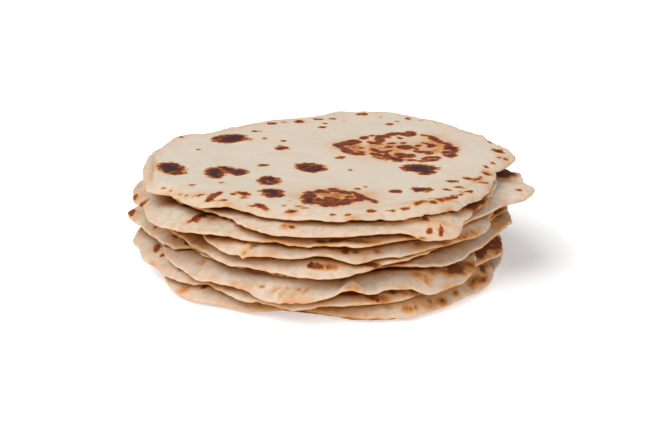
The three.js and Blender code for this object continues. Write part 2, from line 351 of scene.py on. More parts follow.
@dataclass
class Tortilla:
    """One tortilla, draped over what lies below it.

    Attributes:
        name: The node that it stands for.
        thickness: Thickness of its risen middle.
        bend: Width of the band that droops at its rim.
        rim: Landmarks of bearing, reach from the axis, and height of the rim's middle.
        back: Usual reach of the rim behind the stack, or nothing where the whole rim shows.
        nicks: Small notches in the rim, each of bearing, depth and half its width in degrees.
        spots: Charred spots that the photograph shows.
        blooms: Golden patches of toasting that it shows, and painted shade in the gaps under rims above.
        creases: Folds and dents that it shows.
    """

    name: str
    thickness: float
    bend: float
    rim: tuple[tuple[float, float, float], ...]
    back: float | None = None
    nicks: tuple[tuple[float, float, float], ...] = ()
    spots: tuple[Spot, ...] = ()
    blooms: tuple[Bloom, ...] = ()
    creases: tuple[Crease, ...] = ()
    number: int = field(default=0, init=False)
    on_top: bool = field(default=False, init=False)

    BACK_STEP = 17.0
    BACK_STEP_SPREAD = 0.15
    BACK_REACH_SPREAD = 5.0
    BACK_DROOP = 2.4
    BACK_DROOP_SPREAD = 2.2
    LEAST_LIFT = 0.3
    SEED = 7001
    SEED_STEP = 97

    WAVE_HEIGHT = 0.9
    WAVE_HEIGHT_ON_TOP = 0.45
    WAVE_LENGTHS = (120.0, 145.0)
    WAVE_SHIFTS = (0.3, 0.37)
    WAVE_FADE = 20.0

    RUFFLES = (19, 31, 47, 71, 109)
    SWELLS = (3, 7)
    SWELL_MIDDLE = 0.5
    SWELL_HEIGHT = 0.4
    SWELL_LIMITS = (0.1, 1.2)
    RUFFLE_REACH = 0.9
    RUFFLE_HEIGHT = 0.6
    LUMP_LENGTHS = (34.0, 9.0)
    LUMP_HEIGHT = 0.3
    LUMP_HEIGHT_ON_TOP = 0.12
    LUMP_LIMIT = 0.22
    LUMP_FADE = 10.0
    LUMP_LEAST = 0.25

    def settle(self, number: int, count: int, below: HeightMap) -> None:
        """Gives the tortilla its place in the stack.

        Args:
            number: Its place, counted from 0 at the bottom.
            count: How many there are.
            below: The skin that it is laid on.
        """
        self.number = number
        self.on_top = number == count - 1
        self.below = below
        landmarks = list(self.rim) + self._hidden_rim()
        bearings, reaches, heights = zip(*landmarks)
        self.reach_curve = RimCurve(bearings, reaches)
        self.height_curve = RimCurve(bearings, heights)
        draw = Draw(self.SEED + self.SEED_STEP * number + 1)
        self.ruffle_turns = [(math.pi * draw(), math.pi * draw()) for _ in self.RUFFLES]
        self.swell_turns = [(math.pi * draw(), math.pi * draw()) for _ in self.SWELLS]
        self.lumps = Lumps(draw, *self.LUMP_LENGTHS)
        self.other_lumps = Lumps(draw, *self.LUMP_LENGTHS)

    def level(self) -> float:
        """Rest height of the tortilla's middle."""
        return LOWEST_THICKNESS / 2 + PITCH * self.number

    def _hidden_rim(self) -> list[tuple[float, float, float]]:
        """Landmarks drawn for the stretch of rim that the photograph doesn't show."""
        if self.back is None:
            return []
        draw = Draw(self.SEED + self.SEED_STEP * self.number)
        start = self.rim[-1][0] - 360.0
        hidden = self.rim[0][0] - start
        count = round(hidden / self.BACK_STEP) - 1
        lowest = RIM_THICKNESS / 2 + self.LEAST_LIFT
        landmarks = []
        for i in range(1, count + 1):
            bearing = start + hidden * (i + self.BACK_STEP_SPREAD * draw()) / (count + 1)
            reach = self.back + self.BACK_REACH_SPREAD * draw()
            height = self.level() - self.BACK_DROOP + self.BACK_DROOP_SPREAD * draw()
            landmarks.append((bearing, reach, max(height, lowest)))
        return landmarks

    def _ruffle(self, bearing: np.ndarray, which: int) -> np.ndarray:
        """Small seeded ripples round the rim, here strong and there weak.

        Args:
            bearing: Bearings in degrees.
            which: 0 for the ripples in the rim's reach, 1 for those in its height.

        Returns:
            The ripples, mostly from -1 to 1.
        """
        angle = np.radians(bearing)
        ripple = np.zeros_like(angle)
        for i, (count, turns) in enumerate(zip(self.RUFFLES, self.ruffle_turns)):
            ripple = ripple + np.sin(count * angle + turns[which]) / (1 + i)
        swells = zip(self.SWELLS, self.swell_turns)
        swell = sum(np.sin(count * angle + turns[which]) for count, turns in swells)
        return ripple * np.clip(self.SWELL_MIDDLE + self.SWELL_HEIGHT * swell, *self.SWELL_LIMITS)

    def reach(self, bearing: np.ndarray) -> np.ndarray:
        """Distance from the axis to the rim."""
        reach = self.reach_curve.at(bearing) + self.RUFFLE_REACH * self._ruffle(bearing, 0)
        for place, depth, width in self.nicks:
            away = np.mod(bearing - place + 180.0, 360.0) - 180.0
            reach -= depth * np.exp(-((away / width) ** 2))
        return reach

    def half(self, inside: np.ndarray) -> np.ndarray:
        """Half the dough's thickness at a distance in from the rim."""
        grown = np.clip(inside / TAPER, 0.0, 1.0)
        return 0.5 * (RIM_THICKNESS + (self.thickness - RIM_THICKNESS) * grown)

    def _wave(self, radius: np.ndarray, bearing: np.ndarray, inside: np.ndarray) -> np.ndarray:
        """Long low waves of the middle, gone before the rim."""
        angle = np.radians(bearing)
        turns_x = radius * np.cos(angle) / self.WAVE_LENGTHS[0] + self.WAVE_SHIFTS[0] * self.number
        turns_y = radius * np.sin(angle) / self.WAVE_LENGTHS[1] + self.WAVE_SHIFTS[1] * self.number
        fade = np.clip((inside - self.bend / 2) / self.WAVE_FADE, 0.0, 1.0)
        height = self.WAVE_HEIGHT_ON_TOP if self.on_top else self.WAVE_HEIGHT
        return height * fade * np.sin(2.0 * math.pi * turns_x) * np.cos(2.0 * math.pi * turns_y)

    def height(self, radius: np.ndarray, bearing: np.ndarray) -> np.ndarray:
        """Height of the dough's middle, resting on what lies below.

        Args:
            radius: Distances from the axis.
            bearing: Bearings in degrees.

        Returns:
            Heights above the table.
        """
        inside = self.reach(bearing) - radius
        half = self.half(inside)
        bent = np.clip(1.0 - inside / self.bend, 0.0, 1.0) ** BEND_POWER
        rim = self.height_curve.at(bearing) + self.RUFFLE_HEIGHT * self._ruffle(bearing, 1)
        if self.number == 0:
            return half + np.maximum(rim - RIM_THICKNESS / 2, 0.0) * bent
        free = (self.level() + self._wave(radius, bearing, inside)) * (1.0 - bent) + rim * bent
        held = self.below.at(radius, bearing) + AIR + half
        return 0.5 * (free + held + np.hypot(free - held, 2.0 * AIR))

    def skin(self, radius: np.ndarray, bearing: np.ndarray) -> np.ndarray:
        """The upper face, carried on past the rim as it falls away."""
        inside = self.reach(bearing) - radius
        return self.height(radius, bearing) + self.half(inside) - FALL_SLOPE * np.maximum(-inside, 0.0)


@dataclass(frozen=True)
class DiscPattern:
    """How finely a tortilla's mesh is divided.

    The profile runs from the middle of the underside out to the rim, round it, and back to the
    middle of the upper side. Its first coordinate is 0 to 1 over the shared flat middle, 1 to 2 up
    to the rim, and 2 to 3 round the rim's rounded end. Its second is the side, from -1 to 1.

    Attributes:
        sectors: Steps round the circle.
        middle_rings: Rings over the flat middle of the upper side.
        rim_rings: Rings from there to the rim.
        sparse: How many times fewer rings the underside has.
        end_steps: Steps round the rim's end.
    """

    sectors: int
    middle_rings: int
    rim_rings: int
    sparse: int = 2
    end_steps: int = 8

    # How near two vertices lie that become one, in the profile's own coordinates
    WELD = 1e-5

    def profile(self) -> list[tuple[float, float]]:
        """The points of the profile."""
        lower = self._face(self.middle_rings // self.sparse, self.rim_rings // self.sparse, -1.0)
        upper = self._face(self.middle_rings, self.rim_rings, 1.0)
        end = []
        for i in range(self.end_steps + 1):
            turn = math.pi * (i / self.end_steps - 0.5)
            end.append((2.0 + math.cos(turn), math.sin(turn)))
        return lower + end + upper[::-1]

    @staticmethod
    def _face(middle: int, rim: int, side: float) -> list[tuple[float, float]]:
        """The profile of one face, from the middle outwards."""
        inner = [(i / middle, side) for i in range(middle)]
        return inner + [(1.0 + i / rim, side) for i in range(rim)]

    def spun(self, name: str) -> bpy.types.Mesh:
        """Spins the profile into a closed disc.

        Args:
            name: The mesh's name.

        Returns:
            The disc, in the profile's own coordinates.
        """
        bm = bmesh.new()
        verts = [bm.verts.new((x, 0.0, side)) for x, side in self.profile()]
        edges = [bm.edges.new(pair) for pair in zip(verts, verts[1:])]
        bmesh.ops.spin(
            bm,
            geom=verts + edges,
            cent=(0.0, 0.0, 0.0),
            axis=(0.0, 0.0, 1.0),
            angle=2.0 * math.pi,
            steps=self.sectors,
            use_merge=True,
        )
        bmesh.ops.remove_doubles(bm, verts=bm.verts, dist=self.WELD)
        bmesh.ops.recalc_face_normals(bm, faces=bm.faces)
        mesh = bpy.data.meshes.new(name)
        bm.to_mesh(mesh)
        bm.free()
        mesh.shade_smooth()
        return mesh


class TortillaMesh:
    """The finished mesh of one tortilla: its draped shape, its creases, its baked colours and painted
    shade.
    """

    # Where the underside begins, on the profile's second coordinate
    UNDERSIDE = -0.7

    # A pixel's place on the dough: how squarely the dough must face the camera, how many pixels off
    # it counts otherwise, and the least height of what is seen edge on
    LEAST_FACING = 0.05
    TURNED_AWAY = 50.0
    LEAST_SQUASH = 0.12

    # Creases: how much shallower they end, how soon a pleat's side stands up and how far in it does,
    # in millimetres, and how much painted shade a millimetre of depth gets
    CREASE_TAPER = 0.6
    LAP_STEP = 0.8
    LAP_REACH = 9.0
    FOLD_SHADE = 0.35

    # Painted shade: how dark the underside is painted, how painted shade grows from the rim above inwards,
    # and how a wider gap weakens it
    UNDERSIDE_FADE = 1.6
    UNDERSIDE_SHADE = 0.8
    SHADE_REACH = 5.0
    NEAR_SHADE = 0.8
    NEAR_GAP = 4.0
    GAP_DEPTH = 2.4
    GAP_SPREAD = 0.5
    GAP_SPREAD_LIMIT = 1.0

    # Spots: the scorch where there is none, how toasted a tan one is and how sharply that ends, how
    # slowly a charred one darkens, and from what radius on its edge is fully ragged
    FAR = -8.0
    TAN_TOAST = 1.7
    TAN_FALL = 0.9
    BLOOM_FALL = 1.2
    CHAR_GROWTH = 0.65
    RAGGED_SIZE = 4.0
    RAGGED_FALL = 0.3

    # How far in from the rim its tan edge and its warmer band reach, in millimetres
    EDGE_REACH = 3.0
    WARM_REACH = 11.0

    # Seeded spots: how many, above and below, then where and how large, each as a middle or a least
    # and what is drawn on top of it
    SCATTER_SEED = 21003
    SCATTER_COUNT = 46
    UNDERSIDE_COUNT = 60
    SCATTER_BEARINGS = (90.0, 78.0)
    SCATTER_REACH = 118.0
    SCATTER_WIDTHS = (1.2, 5.5)
    SCATTER_SHAPES = (1.3, 0.6)
    SCATTER_HEATS = (Heat.TAN, Heat.BROWN, Heat.CHAR, Heat.CHAR)

    def __init__(self, tortilla: Tortilla, pattern: DiscPattern, camera: PhotoCamera) -> None:
        """Spins and drapes the mesh.

        Args:
            tortilla: What it is a mesh of.
            pattern: How finely it is divided.
            camera: The camera whose pixels place the spots.
        """
        self.tortilla = tortilla
        self.camera = camera
        self.mesh = pattern.spun(tortilla.name + "_dough")
        self._drape()

    @staticmethod
    def _triples(values: bpy.types.bpy_prop_collection, key: str) -> np.ndarray:
        """Three numbers for every vertex, out of one of the mesh's lists."""
        flat = np.empty(3 * len(values))
        values.foreach_get(key, flat)
        return flat.reshape(-1, 3)

    def _write(self, points: np.ndarray) -> None:
        """Moves the mesh's vertices and finds how the photograph's camera sees them.

        Args:
            points: Rows of x, y, z for every vertex, in millimetres.
        """
        self.points = points
        self.mesh.vertices.foreach_set("co", (points * MM).ravel())
        self.mesh.update()
        self.normals = self._triples(self.mesh.vertex_normals, "vector")
        self.seen = self.camera.pixels(points)
        self.facing = np.einsum("ij,ij->i", self.normals, self.camera.towards(points))

    def _drape(self) -> None:
        """Lays the spun disc on the stack."""
        disc = self._triples(self.mesh.vertices, "co")
        along = np.hypot(disc[:, 0], disc[:, 1])
        angle = np.arctan2(disc[:, 1], disc[:, 0])
        self.side = disc[:, 2]
        self.bearing = np.degrees(angle)
        tortilla = self.tortilla
        reach = tortilla.reach(self.bearing)
        shoulder = reach - RIM_THICKNESS / 2
        outer = np.clip(along - 1.0, 0.0, 1.0)
        end = np.clip(along - 2.0, 0.0, 1.0)
        self.radius = np.minimum(along, 1.0) * MIDDLE_RADIUS + outer * (shoulder - MIDDLE_RADIUS)
        self.radius += end * RIM_THICKNESS / 2
        self.inside = reach - self.radius
        x = self.radius * np.cos(angle)
        y = self.radius * np.sin(angle)
        lower = tortilla.other_lumps.at(x, y) if tortilla.number else np.zeros_like(x)
        relief = np.where(self.side > 0.0, tortilla.lumps.at(x, y), lower)
        lump_height = tortilla.LUMP_HEIGHT_ON_TOP if tortilla.on_top else tortilla.LUMP_HEIGHT
        relief = tortilla.LUMP_LIMIT * np.tanh(lump_height / tortilla.LUMP_LIMIT * relief)
        relief *= np.clip(self.inside / tortilla.LUMP_FADE, tortilla.LUMP_LEAST, 1.0)
        z = tortilla.height(self.radius, self.bearing) + self.side * tortilla.half(self.inside)
        z += relief * np.abs(self.side)
        self._write(np.stack([x, y, z], 1) + AXIS)

    def anchor(self, u: float, v: float) -> int:
        """The vertex of the upper side that shows nearest to a pixel.

        Args:
            u: Pixel from the left.
            v: Pixel from the top.

        Returns:
            The vertex's number.
        """
        away = np.hypot(self.seen[:, 0] - u, self.seen[:, 1] - v)
        hidden = (self.facing < self.LEAST_FACING) | (self.side < self.UNDERSIDE)
        return int(np.argmin(away + self.TURNED_AWAY * hidden))

    def crease(self) -> None:
        """Presses the tortilla's creases into both of its faces, and keeps painted shade for their hollows.
        """
        self.crease_shade = np.zeros(len(self.points))
        points = self.points.copy()
        upright = np.array([0.0, 0.0, 1.0]) * (1.0 - np.abs(self.side))[:, None]
        outward = upright + self.normals * self.side[:, None]
        for line in self.tortilla.creases:
            a = self.points[self.anchor(*line.start)][:2]
            b = self.points[self.anchor(*line.end)][:2]
            run = b - a
            square = max(float(run @ run), TINY)
            way = self.points[:, :2] - a
            t = np.clip(way @ run / square, 0.0, 1.0)
            away = np.linalg.norm(way - t[:, None] * run, axis=1)
            taper = 1.0 - self.CREASE_TAPER * np.abs(2.0 * t - 1.0) ** 3
            sunk = line.depth * np.exp(-((away / line.width) ** 2))
            left = (run[0] * way[:, 1] - run[1] * way[:, 0]) / math.sqrt(square)
            lapped = np.clip(left / self.LAP_STEP, 0.0, 1.0) * np.exp(-((away / self.LAP_REACH) ** 2))
            points += (taper * (line.lap * lapped - sunk))[:, None] * outward
            # Painted shade in the crease's hollow, deeper where it sinks further
            self.crease_shade = np.maximum(self.crease_shade, self.FOLD_SHADE * taper * sunk)
        self._write(points)

    def _ellipse(self, mark: Spot | Bloom) -> tuple[np.ndarray, np.ndarray, float]:
        """Lays a mark's ellipse on the dough where the photograph shows it.

        Args:
            mark: The spot or bloom.

        Returns:
            For every vertex how far out it is, 1 being the ellipse's own outline, and how fast that
            grows in each millimetre. Then the ellipse's smaller radius in millimetres.
        """
        i = self.anchor(mark.u, mark.v)
        normal = self.normals[i]
        across = np.array([1.0, 0.0, 0.0]) - normal[0] * normal
        across /= np.linalg.norm(across)
        upward = np.cross(normal, across)
        scale = self.camera.focal / self.camera.distance
        squash = max(float(self.facing[i]), self.LEAST_SQUASH)
        way = self.points - self.points[i]
        du = way @ across * scale
        dv = way @ upward * scale * squash
        c, s = math.cos(math.radians(mark.tilt)), math.sin(math.radians(mark.tilt))
        a = (du * c + dv * s) / (mark.width / 2)
        b = (dv * c - du * s) / (mark.height / 2)
        q = np.hypot(a, b)
        to_a = np.array([c * scale, s * scale * squash]) / (mark.width / 2)
        to_b = np.array([-s * scale, c * scale * squash]) / (mark.height / 2)
        growth = np.hypot(a * to_a[0] + b * to_b[0], a * to_a[1] + b * to_b[1]) / np.maximum(q, TINY)
        return q, growth, 1.0 / max(np.linalg.norm(to_a), np.linalg.norm(to_b))

    def _painted_gap_shade(self, above: list[Tortilla]) -> np.ndarray:
        """Painted shade for every vertex: how deep it lies in the gap under another tortilla, with its
        underside and creases darker.

        Args:
            above: The tortillas that lie higher.

        Returns:
            For every vertex 0 in the open and 1 for the darkest painted shade, deep in a gap.
        """
        # Painted shade on the underside, darkest under the rim's end
        below = np.clip(-self.UNDERSIDE_FADE * self.side, 0.0, self.UNDERSIDE_SHADE)
        painted_shade = np.maximum(below, self.crease_shade)
        # Painted shade in the gaps under the tortillas above, darker the deeper and narrower the gap
        for other in above:
            within = other.reach(self.bearing) - self.radius
            underside = other.height(self.radius, self.bearing) - other.half(within)
            gap = np.maximum(underside - self.points[:, 2], 0.0)
            near = np.clip(within / self.SHADE_REACH, 0.0, 1.0) * self.NEAR_SHADE
            spread = np.minimum(self.GAP_SPREAD * gap, self.GAP_SPREAD_LIMIT)
            depth = (within + spread) / (self.GAP_DEPTH * gap + 1.0)
            shade = np.maximum(near / (self.NEAR_GAP + gap), np.clip(depth, 0.0, 1.0))
            painted_shade = np.maximum(painted_shade, shade)
        return painted_shade

    def _most(self, values: np.ndarray, more: np.ndarray, under: bool = False) -> np.ndarray:
        """The greater of two numbers for each vertex of one face, and the first for the others.

        Args:
            values: The first numbers.
            more: The second numbers.
            under: Whether the face is the underside.

        Returns:
            A number for every vertex.
        """
        face = self.side < self.UNDERSIDE if under else self.side > self.UNDERSIDE
        return np.where(face, np.maximum(values, more), values)

    def bake(self, above: list[Tortilla]) -> None:
        """Writes the numbers that the material reads for every vertex.

        They say how scorched it is, how toasted (with the painted shade of strong blooms in gaps), how
        ragged the spot's edge there is, how near it is to the rim, how much painted shade it gets in the
        gaps under other tortillas, on its underside and in its creases, and how warm and rough its cream
        is.

        Args:
            above: The tortillas that lie higher.
        """
        scorch = np.full(len(self.points), self.FAR)
        toast_and_shade = np.zeros(len(self.points))
        ragged = np.zeros(len(self.points))
        for spot in self.tortilla.spots:
            q, growth, least = self._ellipse(spot)
            if spot.heat is Heat.TAN:
                toast_and_shade = self._most(toast_and_shade, self.TAN_TOAST * np.exp(-self.TAN_FALL * q**4))
                continue
            depth = np.minimum((1.0 - q) / np.maximum(growth, TINY), least)
            if spot.heat is Heat.CHAR:
                depth = depth * self.CHAR_GROWTH
                size = min(least / self.RAGGED_SIZE, 1.0)
                ragged = np.maximum(ragged, size * np.exp(-self.RAGGED_FALL * q**4))
            scorch = self._most(scorch, np.minimum(depth, spot.heat.value))
        for bloom in self.tortilla.blooms:
            q, _, _ = self._ellipse(bloom)
            toast_and_shade = self._most(toast_and_shade, bloom.strength * np.exp(-self.BLOOM_FALL * q * q))
        inside = np.maximum(self.inside, 0.0)
        layers = {
            "scorch": self._scatter(scorch),
            "toast_and_shade": toast_and_shade,
            "ragged": ragged,
            "rim": np.exp(-inside / self.EDGE_REACH),
            "painted_shade": self._painted_gap_shade(above),
            "warm": np.exp(-inside / self.WARM_REACH) if self.tortilla.on_top else np.ones_like(inside),
        }
        for name, values in layers.items():
            layer = self.mesh.attributes.new(name, "FLOAT", "POINT")
            layer.data.foreach_set("value", values.astype(np.float32))

    def _scatter(self, scorch: np.ndarray) -> np.ndarray:
        """Adds seeded spots where the photograph shows none: behind the stack and underneath.

        Args:
            scorch: How scorched each vertex is so far.

        Returns:
            The same with the seeded spots.
        """
        draw = Draw(self.SCATTER_SEED + self.tortilla.number)
        middle, spread = self.SCATTER_BEARINGS
        least, more = self.SCATTER_WIDTHS
        shape, longer = self.SCATTER_SHAPES
        heats = self.SCATTER_HEATS
        for i in range(self.SCATTER_COUNT + self.UNDERSIDE_COUNT):
            under = i >= self.SCATTER_COUNT
            bearing = 180.0 * draw() if under else middle + spread * draw()
            radius = self.SCATTER_REACH * math.sqrt(abs(draw()))
            wide = least + more * draw() ** 4
            long = wide * (shape + longer * draw())
            heat = heats[int(len(heats) / 2 * (draw() + 1.0)) % len(heats)]
            lean = math.pi * draw()
            if self.tortilla.on_top and not under:
                continue
            angle = math.radians(bearing)
            x = self.points[:, 0] - AXIS[0] - radius * math.cos(angle)
            y = self.points[:, 1] - AXIS[1] - radius * math.sin(angle)
            a = (x * math.cos(lean) + y * math.sin(lean)) / long
            b = (y * math.cos(lean) - x * math.sin(lean)) / wide
            depth = np.minimum((1.0 - np.hypot(a, b)) * wide, heat.value)
            scorch = self._most(scorch, depth, under)
        return scorch

    def piece(self, dough: bpy.types.Material) -> bpy.types.Object:
        """Makes the tortilla's object and says what it stands for.

        Args:
            dough: The material to give it.

        Returns:
            The object.
        """
        piece = bpy.data.objects.new(self.tortilla.name + "_dough", self.mesh)
        bpy.context.scene.collection.objects.link(piece)
        self.mesh.materials.append(dough)
        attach(piece, BODY)
        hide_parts(self.tortilla.name)
        return piece


def linear(red: int, green: int, blue: int) -> tuple[float, float, float, float]:
    """A screen colour as the shader wants it.

    Args:
        red: Red, 0 to 255.
        green: Green, 0 to 255.
        blue: Blue, 0 to 255.

    Returns:
        The linear colour, opaque.
    """
    parts = [c / 255.0 for c in (red, green, blue)]
    return (*[c / 12.92 if c <= 0.04045 else ((c + 0.055) / 1.055) ** 2.4 for c in parts], 1.0)


@dataclass(frozen=True)
class Blotches:
    """Blotches over the dough, made of noise.

    Attributes:
        size: Their size in millimetres.
        detail: How many finer layers they have.
        roughness: How strong those are.
        low: The noise that shows as nothing.
        high: The noise that shows in full.
    """

    size: float
    detail: float
    roughness: float = 0.5
    low: float = 0.0
    high: float = 1.0


class NodeBench:
    """A new material and short ways to add nodes to it."""

    def __init__(self, name: str) -> None:
        """Starts an empty material."""
        self.material = bpy.data.materials.new(name)
        self.material.use_nodes = True
        self.tree = self.material.node_tree
        self.tree.nodes.clear()
        self.place = self.add("ShaderNodeTexCoord").outputs["Object"]

    def add(self, kind: str, inputs: dict | None = None, **settings: object) -> bpy.types.Node:
        """Adds a node.

        Args:
            kind: The node's type.
            inputs: For inputs by name or number, the socket to join or the value to set.
            settings: Settings of the node.

        Returns:
            The node.
        """
        node = self.tree.nodes.new(kind)
        for key, value in settings.items():
            setattr(node, key, value)
        for key, value in (inputs or {}).items():
            if isinstance(value, bpy.types.NodeSocket):
                self.tree.links.new(value, node.inputs[key])
            else:
                node.inputs[key].default_value = value
        return node

    def surface(self, inputs: dict) -> bpy.types.Material:
        """Ends the material with its surface.

        Args:
            inputs: The surface's inputs, as for a node.

        Returns:
            The material.
        """
        shader = self.add("ShaderNodeBsdfPrincipled", inputs)
        self.add("ShaderNodeOutputMaterial", {"Surface": shader.outputs["BSDF"]})
        return self.material

    def attribute(self, name: str) -> bpy.types.NodeSocket:
        """A number that the mesh holds for every vertex."""
        return self.add("ShaderNodeAttribute", attribute_name=name).outputs["Fac"]

    def maths(self, operation: str, first: object, second: object) -> bpy.types.NodeSocket:
        """A sum on two sockets or numbers."""
        return self.add("ShaderNodeMath", {0: first, 1: second}, operation=operation).outputs[0]

    def line(self, value: bpy.types.NodeSocket, slope: float, start: float) -> bpy.types.NodeSocket:
        """A number times the slope, plus the start."""
        return self.maths("ADD", self.maths("MULTIPLY", value, slope), start)

    def spread(self, value: bpy.types.NodeSocket, low: float, high: float) -> bpy.types.NodeSocket:
        """Stretches a number so that low becomes 0 and high becomes 1, and holds it between."""
        inputs = {"Value": value, "From Min": low, "From Max": high}
        return self.add("ShaderNodeMapRange", inputs, clamp=True).outputs["Result"]

    def noise(self, kind: Blotches) -> bpy.types.NodeSocket:
        """The noise that blotches are made of, from 0 to 1."""
        inputs = {"Vector": self.place, "Scale": 1.0 / (kind.size * MM)}
        inputs |= {"Detail": kind.detail, "Roughness": kind.roughness}
        return self.add("ShaderNodeTexNoise", inputs).outputs["Fac"]

    def blotches(self, kind: Blotches) -> bpy.types.NodeSocket:
        """How strongly blotches show, from 0 to 1."""
        return self.spread(self.noise(kind), kind.low, kind.high)

    def mix(self, amount: bpy.types.NodeSocket, first: object, second: object) -> bpy.types.NodeSocket:
        """Blends two colours, sockets or fixed ones, by the amount of the second."""
        inputs = {0: amount, 6: first, 7: second}
        return self.add("ShaderNodeMix", inputs, data_type="RGBA").outputs[2]

    def ramp(self, value: bpy.types.NodeSocket, stops: list[tuple[float, tuple]]) -> bpy.types.NodeSocket:
        """Colours a number from 0 to 1.

        Args:
            value: The number.
            stops: Places and their colours.

        Returns:
            The colour.
        """
        node = self.add("ShaderNodeValToRGB", {"Fac": value})
        elements = node.color_ramp.elements
        while len(elements) < len(stops):
            elements.new(0.5)
        for element, (place, colour) in zip(elements, stops):
            element.position = place
            element.color = colour
        return node.outputs["Color"]


@dataclass(frozen=True)
class BakedDough:
    """Cream griddled dough, dusty with flour, that scorches from tan through brown to black, and painted
    shade in the gaps between tortillas.
    """

    cream: tuple = linear(208, 195, 179)
    warm_cream: tuple = linear(206, 189, 168)
    flour: tuple = linear(210, 199, 186)
    fleck: tuple = linear(190, 160, 122)
    warm: tuple = linear(206, 180, 150)
    # Golden toasting; the painted shade of the gaps, amber and then dark; brown toasting, which strong
    # blooms in gaps under rims above use as painted shade
    golden: tuple = linear(200, 134, 74)
    painted_half_shade: tuple = linear(208, 149, 88)
    painted_deep_shade: tuple = linear(110, 55, 21)
    browned_and_shade: tuple = linear(112, 58, 28)
    roughness: float = 0.88
    sheen: float = 0.15
    glow: float = 0.15
    glow_reach: tuple = (1.0, 0.55, 0.3)
    glow_depth: float = 2.0
    relief: float = 0.35
    relief_height: float = 0.5

    # Blotches: of the two creams, the flour, the flecks, what is toasted (which also varies the painted
    # shade) and the rim's tan edge, then those that roughen a spot's outline and redden its middle
    CREAMS = Blotches(38.0, 2.0, 0.5, 0.35, 0.65)
    FLOURED = Blotches(18.0, 1.0, 0.5, 0.4, 0.7)
    FLECKED = Blotches(4.5, 3.0, 0.7, 0.47, 0.65)
    TOASTED = Blotches(11.0, 3.0, 0.6, 0.3, 0.7)
    EDGED = Blotches(14.0, 2.0, 0.5, 0.5, 0.7)
    ROUGHENED = Blotches(3.8, 3.0, 0.62, 0.34, 0.66)
    REDDENED = Blotches(9.0, 3.0, 0.5, 0.48, 0.66)

    # How strong they make each colour, as a share or as a slope and a start
    FLOUR_SHARE = 0.6
    FLECK_LINE = (0.5, 0.06)
    WARM_SHARE = 0.15
    TOAST_LINE = (1.2, 0.2)
    EDGE_LINE = (0.6, 0.2)
    SHADE_NOISE_SHARE = 0.2

    # The painted shade, and the toasting, from which a colour begins to show, and at which it shows in full
    GOLDEN_TOAST = (0.0, 1.0)
    HALF_SHADE = (0.27, 0.72)
    FULL_SHADE = (0.6, 1.05)
    BROWN_TOAST = (0.9, 2.0)

    # Spots: how rough their outline is, as a slope and a start, how much redder they get and how deep
    # in, the scorch from which they show, and how far and where the painted shade of a gap hides their
    # rings
    ROUGH_LINE = (0.8, 1.6)
    RED_DEPTH = 3.4
    RED_SCORCH = (1.0, 4.0)
    SPOT_SCORCH = (-1.3, -0.4)
    RING_DEPTH = 1.3
    RING_SHADE = (0.25, 0.8)

    # Relief: the grain, the pores, as a slope and a start, and the crust of the spots
    GRAIN = Blotches(1.6, 4.0, 0.6)
    GRAIN_SHARE = 0.3
    PORES = Blotches(6.0, 2.0)
    PORE_LINE = (3.0, 0.2)
    CRUST = Blotches(2.2, 3.0, 0.7)
    CRUST_SCORCH = (-1.0, 1.5)

    # How far in from a spot's outline each colour comes, in millimetres
    SCORCH = (-3.0, 5.0)
    STOPS = (
        (-3.0, linear(206, 184, 150)),
        (-0.6, linear(206, 164, 112)),
        (-0.2, linear(184, 114, 62)),
        (0.3, linear(142, 72, 38)),
        (1.0, linear(112, 54, 34)),
        (2.0, linear(74, 40, 38)),
        (4.0, linear(56, 38, 44)),
    )

    def material(self) -> bpy.types.Material:
        """Makes the material.

        Returns:
            The material, which reads the numbers that a tortilla's mesh bakes for every vertex.
        """
        bench = NodeBench(SLOT)
        scorch = self._scorch(bench)
        toasted = bench.blotches(self.TOASTED)
        toast_and_shade = bench.maths("MULTIPLY", bench.attribute("toast_and_shade"), bench.line(toasted, *self.TOAST_LINE))
        edge = bench.line(bench.blotches(self.EDGED), *self.EDGE_LINE)
        edge = bench.maths("MULTIPLY", bench.attribute("rim"), edge)
        toast_and_shade = bench.maths("MAXIMUM", toast_and_shade, edge)
        # Painted shade from the mesh, varied by the toasting blotches
        painted_shade = bench.maths("MULTIPLY", toasted, self.SHADE_NOISE_SHARE)
        painted_shade = bench.maths("ADD", bench.attribute("painted_shade"), painted_shade)
        plain = self._cream(bench)
        plain = bench.mix(bench.spread(toast_and_shade, *self.GOLDEN_TOAST), plain, self.golden)
        # Painted shade of the gaps, amber and then dark
        plain = bench.mix(bench.spread(painted_shade, *self.HALF_SHADE), plain, self.painted_half_shade)
        plain = bench.mix(bench.spread(painted_shade, *self.FULL_SHADE), plain, self.painted_deep_shade)
        # Brown toasting, which is painted shade where strong blooms lie in gaps under rims above
        plain = bench.mix(bench.spread(toast_and_shade, *self.BROWN_TOAST), plain, self.browned_and_shade)
        low, high = self.SCORCH
        stops = [((depth - low) / (high - low), colour) for depth, colour in self.STOPS]
        burnt = bench.ramp(bench.spread(scorch, low, high), stops)
        # Rings round spots fade inside the painted shade
        hidden = bench.maths("MULTIPLY", bench.spread(painted_shade, *self.RING_SHADE), self.RING_DEPTH)
        shown = bench.spread(bench.maths("SUBTRACT", scorch, hidden), *self.SPOT_SCORCH)
        surface = {
            "Base Color": bench.mix(shown, plain, burnt),
            "Roughness": self.roughness,
            "Specular IOR Level": self.sheen,
            "Subsurface Weight": self.glow,
            "Subsurface Radius": self.glow_reach,
            "Subsurface Scale": self.glow_depth * MM,
            "Normal": self._bumps(bench, scorch),
        }
        return bench.surface(surface)

